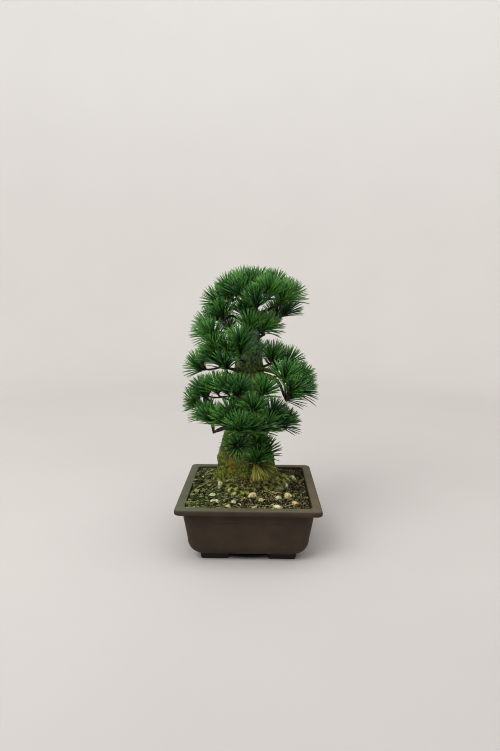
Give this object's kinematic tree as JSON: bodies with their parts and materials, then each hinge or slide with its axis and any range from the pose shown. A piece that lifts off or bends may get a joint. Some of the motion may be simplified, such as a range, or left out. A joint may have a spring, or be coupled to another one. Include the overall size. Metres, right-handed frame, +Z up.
{
  "type": "potted bonsai pine",
  "caption": "Bonsai five-needle pine with a thick mossy trunk and layered needle sprays, in a rectangular brown clay pot with a wide rim and low feet.",
  "frame": {"origin": "middle of the plane that the pot's four feet stand on", "axes": "+Z up along the trunk, the front of the pot towards -Y, the pot's right side towards +X"},
  "size_m": [0.26, 0.27, 0.5366],
  "materials": {
    "clay": "matt unglazed dark brown clay",
    "gravel": "rough dark grit and bark chips",
    "moss": "soft olive moss with brown patches",
    "bark": "rough grey-green bark with brown patches",
    "light_stone": "matt cream and tan stone chips",
    "needles": "satin deep green needles",
    "old_needles": "dull yellow-green needles"
  },
  "bodies": {
    "root": {"pot": "clay", "soil": "gravel", "moss": "moss", "trunk": "bark", "stone_left_upright": "light_stone", "stone_left_green": "light_stone", "stone_left_middle": "light_stone", "stone_left_flat": "light_stone", "stone_front_yellow": "light_stone", "stone_front_beige": "light_stone", "stone_front_small": "light_stone", "stone_front_pale": "light_stone", "stone_right_small": "light_stone", "stone_right_mossy": "light_stone", "stone_right_cream": "light_stone", "stone_right_orange": "light_stone", "stone_right_edge": "light_stone", "stone_back_tan": "light_stone", "crown_left": "needles", "crown_front": "needles", "crown_right": "needles", "crown_top": "needles", "crown_back": "needles", "upper_left": "needles", "upper_right": "needles", "second_left": "needles", "second_front": "needles", "second_right": "needles", "second_back": "needles", "third_left": "needles", "third_left_front": "needles", "third_front": "needles", "third_back": "needles", "right_upper": "needles", "right_mid": "needles", "right_lower": "needles", "right_back": "needles", "fourth_left": "needles", "fourth_front": "needles", "fourth_back": "needles", "fifth_left": "needles", "fifth_front": "needles", "fifth_right_front": "needles", "fifth_right": "needles", "fifth_back": "needles", "low_front": "needles", "low_right": "needles", "old_needles": "old_needles"}
  },
  "joints": []
}
